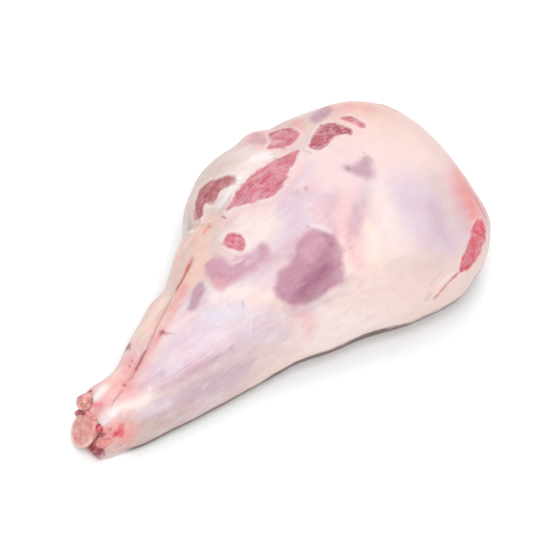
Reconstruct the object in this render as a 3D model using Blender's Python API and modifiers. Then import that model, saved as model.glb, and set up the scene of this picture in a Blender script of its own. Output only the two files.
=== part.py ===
# A raw leg of lamb, lying on its flat side as it would on a table.
# Metres, +Z up. +X runs from the shank end to the butt end and +Y to the leg's far side.
# The origin is at the bottom centre of the whole leg's box.
# Three pieces: the meat with its fat, the shank bone that comes out of it, and the heel tendon.
import math

import bpy
import numpy as np
from mathutils import Matrix, Vector

# Driving dimensions of the meat
LEG_LENGTH = 0.330          # from the shank end to the butt, before the ends are slanted
TIP_ROUND = 0.007           # rounding where the skin turns in at the shank end
TIP_SETBACK = 0.0035        # the meat starts this far behind the end of the bone
TIP_SLANT = 0.40            # the top of the shank end lies further back than its foot
TIP_SLANT_REACH = 0.070     # the slant dies away over this length
TIP_DISH = 0.003            # hollow round the bone in the shank end
BUTT_ROUND = 0.024          # rounding of the rim at the butt end
BUTT_TURN = 0.165           # the butt cut faces a little to the near side
BUTT_TURN_START = 0.160     # distance from the shank end where that turn begins
BUTT_DISH = 0.003           # the cut face is sunken within its rim of fat
SETTLE = 0.0025             # the soft meat is pressed flat to this depth where it lies
CROWN_SQUARENESS = 2.15     # 2 is round, more is boxier
BASE_SQUARENESS = 3.0

# Sections from the shank end to the butt end. In each row: share of the length, near side, far
# side, crown height, height of the widest line, lean of the crown towards the far side.
SECTIONS = (
    ("shank end", 0.00, -0.015, 0.021, 0.037, 0.016, 0.002),
    ("hock", 0.09, -0.025, 0.021, 0.044, 0.016, 0.005),
    ("lower shank", 0.21, -0.033, 0.036, 0.053, 0.017, 0.008),
    ("upper shank", 0.33, -0.040, 0.050, 0.062, 0.018, 0.009),
    ("knee", 0.43, -0.047, 0.074, 0.073, 0.021, 0.008),
    ("thigh", 0.51, -0.056, 0.097, 0.082, 0.024, 0.005),
    ("broad thigh", 0.61, -0.066, 0.112, 0.091, 0.026, 0.003),
    ("rump", 0.73, -0.079, 0.109, 0.097, 0.028, 0.001),
    ("broad rump", 0.85, -0.086, 0.095, 0.098, 0.032, 0.0),
    ("butt", 0.94, -0.081, 0.073, 0.094, 0.036, 0.0),
    ("butt end", 1.00, -0.080, 0.062, 0.088, 0.040, 0.0),
)

# Muscles that swell under the skin. In each row: share of the length and angle of its middle,
# half its length, half its spread in degrees, height. The angle is 0 on the far side, 90 on the
# crown, 180 on the near side and 270 below.
MUSCLES = (
    ("heel", 0.035, 52, 0.018, 30, 0.0055),
    ("foot of the shank", 0.01, 232, 0.014, 30, 0.0020),
    ("shin", 0.27, 152, 0.060, 34, 0.0022),
    ("round", 0.51, 124, 0.040, 24, 0.0035),
    ("rump cap", 0.82, 118, 0.050, 40, 0.0030),
    ("rump flank", 0.74, 170, 0.055, 26, 0.0015),
    ("silverside", 0.60, 44, 0.050, 20, 0.0040),
    ("topside", 0.86, 52, 0.035, 24, 0.0030),
    ("rump corner", 0.97, 154, 0.022, 20, 0.0030),
    ("far flank", 0.74, 8, 0.045, 22, 0.0030),
    ("far shank", 0.30, 14, 0.045, 20, 0.0015),
)

# Ridges and seams that run along the leg. In each row: height of the ridge or, below zero, of the
# seam, its half width, then the share of the length and the angle of each point on its way.
LINES = (
    ("heel tendon ridge", 0.0020, 0.0060, ((0.09, 58), (0.22, 46), (0.34, 38), (0.45, 50))),
    ("heel tendon seam", -0.0024, 0.0050, ((0.11, 80), (0.20, 76), (0.27, 60), (0.36, 50))),
    ("back of the knee", -0.0040, 0.0080, ((0.44, 8), (0.46, 36), (0.49, 62))),
    ("silverside seam", -0.0022, 0.0070, ((0.50, 62), (0.58, 68), (0.70, 66), (0.80, 64))),
    ("far lobe seam", -0.0030, 0.0080, ((0.71, 58), (0.73, 36), (0.75, 8))),
    ("round seam", -0.0024, 0.0080, ((0.53, 142), (0.60, 128), (0.70, 104), (0.76, 86))),
    ("shin seam", -0.0014, 0.0070, ((0.12, 122), (0.26, 120), (0.38, 116))),
)

RINGS_ALONG = 52            # rings between the two rounded ends
POINTS_AROUND = 60
TIP_ROUND_RINGS = 3
BUTT_ROUND_RINGS = 6
TIP_CAP_SHARES = (0.78, 0.56, 0.34)
BUTT_CAP_SHARES = (0.82, 0.62, 0.42, 0.22)

# Shank bone, from its bared end to the knee. Each point of its profile is a distance from the
# bared end and a radius.
BONE_END = (-0.0015, 0.0070, 0.0165)
BONE_HEADING = (0.985, -0.140, 0.090)
BONE_SLANT = 0.70           # the bared end looks up: the tangent of its slope
BONE_SLANT_REACH = 0.022
BONE_TURN_STEPS = 28
BONE_PROFILE = (
    (0.0010, 0.0000),
    (0.0008, 0.0045),
    (0.0000, 0.0080),
    (0.0006, 0.0098),
    (0.0028, 0.0112),
    (0.0070, 0.0115),
    (0.0150, 0.0104),
    (0.0300, 0.0086),
    (0.0600, 0.0080),
    (0.0950, 0.0084),
    (0.1200, 0.0110),
    (0.1380, 0.0140),
    (0.1480, 0.0120),
    (0.1520, 0.0070),
    (0.1530, 0.0000),
)

# Heel tendon: a knob above the bone and a cord that runs up under the skin.
TENDON_END = (0.0055, 0.0165, 0.0325)
TENDON_HEADING = (0.985, -0.090, 0.020)
TENDON_TURN_STEPS = 20
TENDON_PROFILE = (
    (0.0000, 0.0000),
    (0.0008, 0.0030),
    (0.0034, 0.0056),
    (0.0068, 0.0060),
    (0.0110, 0.0048),
    (0.0160, 0.0038),
    (0.0300, 0.0036),
    (0.0440, 0.0030),
    (0.0480, 0.0000),
)

FIT_GAP = 0.0003            # clearance between the meat and what lies in it

MEAT_COLOUR = (0.86, 0.66, 0.62, 1.0)
BONE_COLOUR = (0.84, 0.60, 0.52, 1.0)
TENDON_COLOUR = (0.82, 0.58, 0.52, 1.0)


def clear_scene():
    for thing in list(bpy.data.objects):
        bpy.data.objects.remove(thing, do_unlink=True)


def new_collection(name):
    collection = bpy.data.collections.new(name)
    bpy.context.scene.collection.children.link(collection)
    return collection


def material(name, colour, roughness):
    finish = bpy.data.materials.new(name)
    finish.use_nodes = True
    shader = finish.node_tree.nodes["Principled BSDF"]
    shader.inputs["Base Color"].default_value = colour
    shader.inputs["Roughness"].default_value = roughness
    shader.inputs["Metallic"].default_value = 0.0
    return finish


def smooth_between(places, values, place):
    # A smooth curve through the values that never swings past them.
    gaps = np.diff(places)
    slopes = np.diff(values) / gaps
    tangents = np.zeros(len(values))
    tangents[0] = slopes[0]
    tangents[-1] = slopes[-1]
    for k in range(1, len(values) - 1):
        before, after = slopes[k - 1], slopes[k]
        if before * after > 0:
            tangents[k] = 2 * before * after / (before + after)
    k = int(np.clip(np.searchsorted(places, place) - 1, 0, len(places) - 2))
    t = (place - places[k]) / gaps[k]
    start = (1 + 2 * t) * (1 - t) ** 2 * values[k] + t * (1 - t) ** 2 * gaps[k] * tangents[k]
    end = t * t * (3 - 2 * t) * values[k + 1] + t * t * (t - 1) * gaps[k] * tangents[k + 1]
    return start + end


def section(x, inset, angles):
    # One closed D-shaped outline across the leg at x, drawn in by inset.
    rows = np.array([row[1:] for row in SECTIONS])
    share = min(max(x / LEG_LENGTH, 0.0), 1.0)
    near, far, crown, widest, lean = [smooth_between(rows[:, 0], rows[:, k], share) for k in range(1, 6)]
    across, up = np.cos(angles), np.sin(angles)
    above = up > 0
    power = np.where(above, 2 / CROWN_SQUARENESS, 2 / BASE_SQUARENESS)
    across = np.sign(across) * np.abs(across) ** power
    up = np.sign(up) * np.abs(up) ** power
    y = (near + far) / 2 + ((far - near) / 2 - inset) * across + np.where(above, lean * up, 0)
    z = widest + np.where(above, (crown - widest - inset) * up, (widest - 0.35 * inset) * up)
    return np.stack([np.full_like(y, x), y, z], axis=-1)


def bump(distance):
    # 1 in the middle, falling smoothly to 0 at a distance of about 2.
    return np.exp(-(distance ** 2))


def angle_between(angles, middle):
    return (angles - middle + 180) % 360 - 180


def relief(x, angles):
    # How far the skin stands out from its plain section, with angles in degrees.
    height = np.zeros(len(angles))
    for _, share, middle, half_length, half_spread, swell in MUSCLES:
        along = (x - share * LEG_LENGTH) / half_length
        around = angle_between(angles, middle) / half_spread
        height += swell * bump(np.sqrt(along ** 2 + around ** 2))
    for _, rise, half_width, route in LINES:
        shares = np.array([point[0] for point in route]) * LEG_LENGTH
        turns = np.array([point[1] for point in route], dtype=float)
        nearest = np.full(len(angles), np.inf)
        for t in np.linspace(0, 1, 60):
            place = t * (len(route) - 1)
            line_x = smooth_between(np.arange(len(route)), shares, place)
            line_angle = smooth_between(np.arange(len(route)), turns, place)
            radius = 0.030 + 0.055 * min(line_x / (0.6 * LEG_LENGTH), 1.0)
            arc = np.radians(angle_between(angles, line_angle)) * radius
            nearest = np.minimum(nearest, np.hypot(x - line_x, arc))
        height += rise * bump(nearest / half_width)
    return height


def ring_places():
    # Distance from the shank end and inset of each ring, rounded over at both ends.
    places = []
    for turn in np.linspace(0, math.pi / 2, TIP_ROUND_RINGS):
        places.append((TIP_ROUND * (1 - math.cos(turn)), TIP_ROUND * (1 - math.sin(turn))))
    for x in np.linspace(TIP_ROUND, LEG_LENGTH - BUTT_ROUND, RINGS_ALONG)[1:-1]:
        places.append((x, 0.0))
    for turn in np.linspace(math.pi / 2, 0, BUTT_ROUND_RINGS):
        places.append((LEG_LENGTH - BUTT_ROUND * (1 - math.cos(turn)), BUTT_ROUND * (1 - math.sin(turn))))
    return places


def swell(rings, places):
    # Pushes the rings out over the muscles and in along the seams.
    along = np.gradient(rings, axis=0)
    around = np.roll(rings, -1, axis=1) - np.roll(rings, 1, axis=1)
    outward = np.cross(around, along)
    outward /= np.linalg.norm(outward, axis=2, keepdims=True)
    degrees = np.arange(POINTS_AROUND) * 360 / POINTS_AROUND
    for ring, normals, (x, inset) in zip(rings, outward, places):
        ring += normals * relief(x, degrees)[:, None]
    return rings


def cap(ring, shares, dish):
    # Smaller and smaller rings that close an end. A positive dish sinks the middle towards +X.
    middle = ring.mean(axis=0)
    rings = []
    for share in shares:
        inner = middle + (ring - middle) * share
        inner[:, 0] += dish * (1 - share ** 2)
        rings.append(inner)
    return rings


def leg_rings():
    angles = np.arange(POINTS_AROUND) * 2 * math.pi / POINTS_AROUND
    places = ring_places()
    body = np.array([section(x, inset, angles) for x, inset in places])
    body = swell(body, places)
    tip = cap(body[0], TIP_CAP_SHARES, TIP_DISH)
    butt = cap(body[-1], BUTT_CAP_SHARES, -BUTT_DISH)
    rings = np.array(tip[::-1] + list(body) + butt)
    x, y, z = rings[..., 0].copy(), rings[..., 1], rings[..., 2]
    tip_share = np.clip(1 - x / TIP_SLANT_REACH, 0, 1) ** 2
    butt_share = np.clip((x - BUTT_TURN_START) / (LEG_LENGTH - BUTT_TURN_START), 0, 1) ** 1.5
    rings[..., 0] += tip_share * (TIP_SETBACK + TIP_SLANT * (z - SECTIONS[0][5]))
    rings[..., 0] += BUTT_TURN * butt_share * y
    rings[..., 2] = np.maximum(z - SETTLE, 0)
    return rings


def skin_over(name, rings):
    # A closed surface through the rings, with a fan of faces at each end.
    count, around = rings.shape[:2]
    points = [tuple(point) for point in rings.reshape(-1, 3)]
    faces = []
    for ring in range(count - 1):
        for point in range(around):
            following = (point + 1) % around
            a, b = ring * around + point, ring * around + following
            faces.append((a, a + around, b + around, b))
    for ring, first in ((0, False), (count - 1, True)):
        points.append(tuple(rings[ring].mean(axis=0)))
        hub = len(points) - 1
        for point in range(around):
            a, b = ring * around + point, ring * around + (point + 1) % around
            faces.append((hub, b, a) if first else (hub, a, b))
    mesh = bpy.data.meshes.new(name)
    mesh.from_pydata(points, [], faces)
    mesh.shade_smooth()
    return bpy.data.objects.new(name, mesh)


def turned(name, profile, steps, grow):
    # A turned piece along -Z from its end at z = 0, made larger all over by grow.
    points = []
    for k, (distance, radius) in enumerate(profile):
        bigger = 0.0 if radius == 0 else radius + grow
        end = grow if k < len(profile) / 2 else -grow
        points.append((bigger, 0.0, -distance + end))
    mesh = bpy.data.meshes.new(name)
    mesh.from_pydata(points, [(k, k + 1) for k in range(len(points) - 1)], [])
    piece = bpy.data.objects.new(name, mesh)
    screw = piece.modifiers.new("turn", "SCREW")
    screw.axis = "Z"
    screw.angle = 2 * math.pi
    screw.steps = steps
    screw.render_steps = steps
    screw.use_merge_vertices = True
    screw.merge_threshold = 0.00005
    screw.use_smooth_shade = True
    return piece


def laid_along(piece, end, heading, slant, reach, collection):
    # Bakes a turned piece, slopes its bared end back on top and lays it along its heading.
    collection.objects.link(piece)
    bpy.context.view_layer.update()
    graph = bpy.context.evaluated_depsgraph_get()
    baked = bpy.data.meshes.new_from_object(piece.evaluated_get(graph))
    piece.modifiers.clear()
    piece.data = baked
    outward = -Vector(heading).normalized()
    side = Vector((0, 0, 1)).cross(outward).normalized()
    top = outward.cross(side)
    for vertex in baked.vertices:
        near_end = min(max(1 + vertex.co.z / reach, 0.0), 1.0) if reach else 0.0
        vertex.co.z -= slant * near_end ** 2 * vertex.co.y
    turn = Matrix((side, top, outward)).transposed().to_4x4()
    piece.matrix_world = Matrix.Translation(end) @ turn
    return piece


def bone(name, grow, collection):
    piece = turned(name, BONE_PROFILE, BONE_TURN_STEPS, grow)
    return laid_along(piece, BONE_END, BONE_HEADING, BONE_SLANT, BONE_SLANT_REACH, collection)


def tendon(name, grow, collection):
    piece = turned(name, TENDON_PROFILE, TENDON_TURN_STEPS, grow)
    return laid_along(piece, TENDON_END, TENDON_HEADING, 0.0, 0.0, collection)


def cut_away(piece, cutter):
    cutter.display_type = "WIRE"
    cutter.hide_render = True
    cut = piece.modifiers.new("room for " + cutter.name, "BOOLEAN")
    cut.operation = "DIFFERENCE"
    cut.solver = "EXACT"
    cut.object = cutter


def centre_on_floor(pieces, everything):
    # Hangs everything from an empty that puts the bottom centre of the box at the origin.
    bpy.context.view_layer.update()
    graph = bpy.context.evaluated_depsgraph_get()
    corners = []
    for piece in pieces:
        ready = piece.evaluated_get(graph)
        corners += [piece.matrix_world @ vertex.co for vertex in ready.data.vertices]
    low = Vector([min(corner[k] for corner in corners) for k in range(3)])
    high = Vector([max(corner[k] for corner in corners) for k in range(3)])
    stand = bpy.data.objects.new("leg_origin", None)
    bpy.context.scene.collection.objects.link(stand)
    for thing in everything:
        thing.parent = stand
    stand.location = (-(low.x + high.x) / 2, -(low.y + high.y) / 2, -low.z)
    bpy.context.view_layer.update()


def build():
    clear_scene()
    leg = new_collection("leg_of_lamb")
    cutters = new_collection("cutters")
    meat = skin_over("leg_meat", leg_rings())
    leg.objects.link(meat)
    shank_bone = bone("shank_bone", 0.0, leg)
    heel_tendon = tendon("heel_tendon", 0.0, leg)
    bone_room = bone("bone_room", FIT_GAP, cutters)
    tendon_room = tendon("tendon_room", FIT_GAP, cutters)
    cut_away(meat, bone_room)
    cut_away(meat, tendon_room)
    meat.data.materials.append(material("meat", MEAT_COLOUR, 0.38))
    shank_bone.data.materials.append(material("bone", BONE_COLOUR, 0.45))
    heel_tendon.data.materials.append(material("tendon", TENDON_COLOUR, 0.35))
    pieces = (meat, shank_bone, heel_tendon)
    centre_on_floor(pieces, pieces + (bone_room, tendon_room))


build()
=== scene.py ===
# A raw leg of lamb: the fell and fat over the meat, bared muscle, the sawn shank and its heel tendon.
import math

import bmesh
import bpy
import numpy as np
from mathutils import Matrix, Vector, noise
from mathutils.bvhtree import BVHTree


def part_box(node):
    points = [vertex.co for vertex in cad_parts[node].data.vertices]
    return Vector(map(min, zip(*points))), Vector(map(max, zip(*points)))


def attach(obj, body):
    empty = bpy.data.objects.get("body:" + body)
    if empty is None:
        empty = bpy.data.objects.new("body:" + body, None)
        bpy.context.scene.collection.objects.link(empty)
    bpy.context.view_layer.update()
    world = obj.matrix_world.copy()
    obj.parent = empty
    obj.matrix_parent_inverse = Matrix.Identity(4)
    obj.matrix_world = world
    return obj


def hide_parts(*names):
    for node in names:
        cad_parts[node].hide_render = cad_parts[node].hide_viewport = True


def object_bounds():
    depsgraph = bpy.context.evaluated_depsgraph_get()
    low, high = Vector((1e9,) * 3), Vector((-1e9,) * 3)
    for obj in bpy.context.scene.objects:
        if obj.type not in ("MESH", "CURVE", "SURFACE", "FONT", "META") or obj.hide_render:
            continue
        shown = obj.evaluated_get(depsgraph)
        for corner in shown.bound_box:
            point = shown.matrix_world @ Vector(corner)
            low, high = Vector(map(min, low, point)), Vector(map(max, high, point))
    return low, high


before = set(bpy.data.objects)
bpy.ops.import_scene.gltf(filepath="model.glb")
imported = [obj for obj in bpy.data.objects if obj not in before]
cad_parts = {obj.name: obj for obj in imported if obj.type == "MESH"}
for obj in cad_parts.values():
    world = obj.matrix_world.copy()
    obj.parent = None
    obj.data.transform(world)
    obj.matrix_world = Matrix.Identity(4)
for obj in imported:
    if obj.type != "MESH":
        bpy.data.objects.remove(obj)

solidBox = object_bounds()
boxLow, boxHigh = (np.array(corner) for corner in solidBox)
boxMiddle = (boxLow + boxHigh) / 2
mm = 0.001

meatLow, meatHigh = (np.array(corner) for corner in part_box("leg_meat"))
boneLow, boneHigh = (np.array(corner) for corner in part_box("shank_bone"))
legLength = meatHigh[0] - meatLow[0]


studioGain = 1.33        # the light on the leg, where 1 would show a surface's own colour


def tone(red, green, blue):        # a surface's own colour, from 0 to 255 as it is seen in the studio
    seen = np.array((red, green, blue)) / 255
    return (*(((seen + 0.055) / 1.055) ** 2.4 / studioGain), 1.0)


# ---- camera, light and floor

view = {
    "azimuth": -41.0,
    "elevation": 55.0,
    "lens": 120.0,
    "distance": 1.2777,
    "aim": (0.0075, -0.0058, 0.0006),        # from the middle of the leg's box
}

studio = {
    "worldStrength": 0.66,
    "keyPower": 12.0,
    "keySize": 1.0,
    "keyPlace": (-0.35, -0.50, 1.25),
    "fillPower": 5.5,
    "fillSize": 1.2,
    "fillPlace": (0.60, 0.60, 1.05),
    "floorTone": (0.965, 0.965, 0.965, 1.0),
    "floorShade": (0.945, 0.945, 0.945, 1.0),
    "floorSize": 8.0,
}


def direction(azimuth, elevation):        # towards a viewer; azimuth 0 looks along +Y
    turn, rise = math.radians(azimuth), math.radians(elevation)
    return Vector((math.sin(turn) * math.cos(rise), -math.cos(turn) * math.cos(rise), math.sin(rise)))


def aimed(thing, place, target):
    thing.location = place
    thing.rotation_euler = (Vector(target) - Vector(place)).to_track_quat("-Z", "Y").to_euler()
    bpy.context.scene.collection.objects.link(thing)
    return thing


def makeCamera():
    target = Vector(boxMiddle) + Vector(view["aim"])
    lens = bpy.data.cameras.new("camera")
    lens.lens = view["lens"]
    lens.clip_start = 0.01
    camera = bpy.data.objects.new("camera", lens)
    aimed(camera, target + direction(view["azimuth"], view["elevation"]) * view["distance"], target)
    bpy.context.scene.camera = camera


def makeLight():
    world = bpy.data.worlds.new("studio")
    world.use_nodes = True
    backdrop = world.node_tree.nodes["Background"]
    backdrop.inputs["Color"].default_value = (1, 1, 1, 1)
    backdrop.inputs["Strength"].default_value = studio["worldStrength"]
    bpy.context.scene.world = world
    for name in ("key", "fill"):
        lamp = bpy.data.lights.new(name, "AREA")
        lamp.energy = studio[name + "Power"]
        lamp.size = studio[name + "Size"]
        aimed(bpy.data.objects.new(name, lamp), studio[name + "Place"], boxMiddle)
    bpy.context.scene.view_settings.view_transform = "Standard"


# ---- shader helpers

class Wire:        # a socket that sums and products can be written with
    def __init__(self, finish, socket):
        self.finish = finish
        self.socket = socket

    def __add__(self, other):
        return self.finish.sum("ADD", self, other)

    def __radd__(self, other):
        return self.finish.sum("ADD", other, self)

    def __sub__(self, other):
        return self.finish.sum("SUBTRACT", self, other)

    def __rsub__(self, other):
        return self.finish.sum("SUBTRACT", other, self)

    def __mul__(self, other):
        return self.finish.sum("MULTIPLY", self, other)

    def __rmul__(self, other):
        return self.finish.sum("MULTIPLY", other, self)

    def __truediv__(self, other):
        return self.finish.sum("DIVIDE", self, other)

    def __pow__(self, other):
        return self.finish.sum("POWER", self, other)


class Finish:        # one material and the nodes in it
    def __init__(self, name):
        self.material = bpy.data.materials.new(name)
        self.material.use_nodes = True
        self.tree = self.material.node_tree
        self.tree.nodes.clear()

    def node(self, kind, settings=None, inputs=None, output=0):
        made = self.tree.nodes.new(kind)
        for key, value in (settings or {}).items():
            if key == "stops":
                while len(made.color_ramp.elements) < len(value):
                    made.color_ramp.elements.new(0.5)
                for stop, (place, colour) in zip(made.color_ramp.elements, value):
                    stop.position = place
                    stop.color = colour
            else:
                setattr(made, key, value)
        for key, value in (inputs or {}).items():
            if isinstance(value, Wire):
                self.tree.links.new(value.socket, made.inputs[key])
            elif value is not None:
                made.inputs[key].default_value = value
        return Wire(self, made.outputs[output]) if made.outputs else None

    def sum(self, operation, first, second):
        return self.node("ShaderNodeMath", {"operation": operation}, {0: first, 1: second})

    def clamped(self, value):
        return self.node("ShaderNodeClamp", {}, {"Value": value})

    def step(self, value, low, high):        # 0 below low, 1 above high, smooth between
        return self.node("ShaderNodeMapRange", {"interpolation_type": "SMOOTHSTEP"},
                         {"Value": value, "From Min": low, "From Max": high})

    def read(self, name, output="Fac"):        # what the mesh carries at each point
        return self.node("ShaderNodeAttribute", {"attribute_name": name}, output=output)

    def place(self, scale=(1, 1, 1), turn=(0, 0, 0), source=None):
        source = source or self.node("ShaderNodeTexCoord", output="Object")
        return self.node("ShaderNodeMapping", {}, {"Vector": source, "Scale": scale, "Rotation": turn})

    def noise(self, where, scale, detail=2.0, rough=0.5, distort=0.0):
        return self.node("ShaderNodeTexNoise", {}, {"Vector": where, "Scale": scale, "Detail": detail,
                                                    "Roughness": rough, "Distortion": distort})

    def veins(self, where, scale, thin, distort=0.6):        # thin wandering lines, 1 on the line
        wander = self.noise(where, scale, 3.0, 0.55, distort) - 0.5
        return 1 - self.step(self.node("ShaderNodeMath", {"operation": "ABSOLUTE"}, {0: wander}), 0.0, thin)

    def mix(self, share, first, second):
        return self.node("ShaderNodeMix", {"data_type": "RGBA"}, {0: share, 6: first, 7: second}, 2)

    def bump(self, height, depth, strength=1.0, under=None):
        return self.node("ShaderNodeBump", {}, {"Height": height, "Distance": depth,
                                                "Strength": strength, "Normal": under})

    def close(self, **sockets):        # the surface itself; names are written with _ for a space
        inputs = {key.replace("_", " "): value for key, value in sockets.items()}
        surface = self.node("ShaderNodeBsdfPrincipled", {"subsurface_method": "RANDOM_WALK"}, inputs)
        self.node("ShaderNodeOutputMaterial", {}, {"Surface": surface})
        return self.material


# ---- mesh helpers

def pointsOf(mesh):
    flat = np.empty(len(mesh.vertices) * 3)
    mesh.vertices.foreach_get("co", flat)
    return flat.reshape(-1, 3)


def setPoints(mesh, points):
    mesh.vertices.foreach_set("co", points.ravel())
    mesh.update()


def normalsOf(mesh):
    flat = np.empty(len(mesh.vertices) * 3)
    mesh.vertex_normals.foreach_get("vector", flat)
    return flat.reshape(-1, 3)


def edgesOf(mesh):
    flat = np.empty(len(mesh.edges) * 2, dtype=np.int64)
    mesh.edges.foreach_get("vertices", flat)
    return flat.reshape(-1, 2)


def paint(mesh, name, values):        # numbers, or colours with four parts, one for each vertex
    colours = values.ndim == 2 and values.shape[1] == 4
    kind, field = ("FLOAT_COLOR", "color") if colours else (
        ("FLOAT_VECTOR", "vector") if values.ndim == 2 else ("FLOAT", "value"))
    layer = mesh.attributes.new(name, kind, "POINT")
    layer.data.foreach_set(field, values.astype(np.float32).ravel())


def solidCopy(nodeName):        # the solid's loose triangles, welded
    shape = bmesh.new()
    shape.from_mesh(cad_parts[nodeName].data)
    bmesh.ops.remove_doubles(shape, verts=shape.verts, dist=0.01 * mm)
    return shape


def asObject(name, shape):
    mesh = bpy.data.meshes.new(name)
    shape.to_mesh(mesh)
    shape.free()
    piece = bpy.data.objects.new(name, mesh)
    bpy.context.scene.collection.objects.link(piece)
    return piece


def evened(piece, spacing):        # the same form in an even net of small faces
    net = piece.modifiers.new("even net", "REMESH")
    net.mode = "VOXEL"
    net.voxel_size = spacing
    seen = piece.evaluated_get(bpy.context.evaluated_depsgraph_get())
    mesh = bpy.data.meshes.new_from_object(seen)
    piece.modifiers.clear()
    old = piece.data
    piece.data = mesh
    bpy.data.meshes.remove(old)
    return piece


def smoothed(points, edges, rounds, where=None, keep=-0.52):        # eases bumps without shrinking
    counts = np.bincount(edges.ravel(), minlength=len(points)).astype(float)[:, None]
    share = np.ones((len(points), 1)) if where is None else where[:, None]
    for turn in range(rounds * 2):
        total = np.zeros_like(points)
        for axis in range(3):
            total[:, axis] = (np.bincount(edges[:, 0], points[edges[:, 1], axis], len(points))
                              + np.bincount(edges[:, 1], points[edges[:, 0], axis], len(points)))
        pull = 0.5 if turn % 2 == 0 else keep
        points = points + pull * share * (total / np.maximum(counts, 1) - points)
    return points


def finer(piece, near):        # splits the faces round the marked vertices in four
    shape = bmesh.new()
    shape.from_mesh(piece.data)
    shape.verts.ensure_lookup_table()
    marked = set(np.nonzero(near)[0])
    edges = [edge for edge in shape.edges if edge.verts[0].index in marked and edge.verts[1].index in marked]
    bmesh.ops.subdivide_edges(shape, edges=edges, cuts=1, use_grid_fill=True)
    bmesh.ops.triangulate(shape, faces=[face for face in shape.faces if len(face.verts) > 4])
    shape.to_mesh(piece.data)
    shape.free()


def unevenness(points, size, seed, layers=1):        # soft noise, about -1 to 1
    total = np.zeros(len(points))
    for layer in range(layers):
        places = points / size * 2 ** layer + seed * 7.31
        total += np.array([noise.noise(place) for place in places]) / 2 ** layer
    return total


def eased(value, low, high):        # 0 below low, 1 above high, smooth between
    share = np.clip((value - low) / (high - low), 0, 1)
    return share * share * (3 - 2 * share)


def finished(piece, material, body="root"):
    piece.data.materials.clear()
    piece.data.materials.append(material)
    piece.data.shade_smooth()
    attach(piece, body)
    print(piece.name, len(piece.data.polygons), "faces")
    return piece


# ---- where things are on the leg

# A place is a share of the leg's length, from the shank, and an angle: 0 on the far side,
# 90 on the crown, 180 on the near side and 270 below.

class LegMap:
    def __init__(self, points, slices=48, coreHeight=0.30, ease=4):
        edges = np.linspace(meatLow[0], meatHigh[0], slices + 1)
        rows = []
        for start, end in zip(edges[:-1], edges[1:]):
            near = (points[:, 0] >= start - 2 * mm) & (points[:, 0] <= end + 2 * mm)
            rows.append((points[near, 1].min(), points[near, 1].max(), points[near, 2].max()))
        rows = np.array(rows)
        for turn in range(ease):
            padded = np.pad(rows, ((1, 1), (0, 0)), mode="edge")
            rows = (padded[:-2] + 2 * padded[1:-1] + padded[2:]) / 4
        self.middles = (edges[1:] + edges[:-1]) / 2
        self.rows = rows
        self.coreHeight = coreHeight

    def section(self, x):        # middle across, half width, core height, crown height
        low, high, crown = (np.interp(x, self.middles, self.rows[:, k]) for k in range(3))
        return (low + high) / 2, (high - low) / 2, self.coreHeight * crown, crown

    def locate(self, points):        # share, angle, and the section's mean radius
        middle, half, core, crown = self.section(points[:, 0])
        rise = points[:, 2] - core
        up = np.where(rise > 0, rise / (crown - core), rise / core)
        angle = np.degrees(np.arctan2(up, (points[:, 1] - middle) / half))
        angle = np.where(angle < -90, angle + 360, angle)
        return (points[:, 0] - meatLow[0]) / legLength, angle, (half + crown - core) / 2

    def flatten(self, share, angle, radius):        # metres along and metres round from the crown
        return share * legLength, np.radians(np.asarray(angle) - 90) * radius

    def flattenPlaces(self, places):
        share, angle = np.array(places, float).T
        middle, half, core, crown = self.section(meatLow[0] + share * legLength)
        return np.stack(self.flatten(share, angle, (half + crown - core) / 2), axis=1)


def rounded(corners, steps=6, closed=True):        # a smooth line through its corners
    count = len(corners)
    line = []
    for i in range(count if closed else count - 1):
        near = [corners[(i + k) % count] if closed else corners[min(max(i + k, 0), count - 1)]
                for k in (-1, 0, 1, 2)]
        for step in range(steps):
            t = step / steps
            line.append(0.5 * (2 * near[1] + (near[2] - near[0]) * t
                               + (2 * near[0] - 5 * near[1] + 4 * near[2] - near[3]) * t ** 2
                               + (3 * near[1] - near[0] - 3 * near[2] + near[3]) * t ** 3))
    if not closed:
        line.append(corners[-1])
    return np.array(line)


def distanceTo(line, x, y, closed):        # how far each place is from a line, and if it is inside
    best = np.full(x.shape, 1.0)
    inside = np.zeros(x.shape, bool)
    along = np.zeros(x.shape)
    ends = np.roll(line, -1, axis=0) if closed else line[1:]
    for step, ((ax, ay), (bx, by)) in enumerate(zip(line, ends)):
        ex, ey = bx - ax, by - ay
        share = np.clip(((x - ax) * ex + (y - ay) * ey) / max(ex * ex + ey * ey, 1e-12), 0, 1)
        gap = np.hypot(x - ax - share * ex, y - ay - share * ey)
        closer = gap < best
        best = np.where(closer, gap, best)
        along = np.where(closer, (step + share) / len(ends), along)
        if closed and ay != by:
            inside ^= ((ay > y) != (by > y)) & (x < ex * (y - ay) / (by - ay) + ax)
    return best, inside, along


# ---- the fell, the fat and the bared muscle

fell = {
    "spacing": 1.7 * mm,
    "fineZone": 3.0 * mm,        # faces are finer this near to a bared muscle's edge
    "fineShare": 0.055,        # and in this share of the length at the shank end
    "recess": 0.4 * mm,        # bared muscle lies this deep under the fell
    "rim": 0.35 * mm,
    "thin": 1.3,        # strokes of less half width in mm get the finer faces too
    "swell": 0.55 * mm,        # broad unevenness
    "pucker": 0.10 * mm,        # fine unevenness
}

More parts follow.
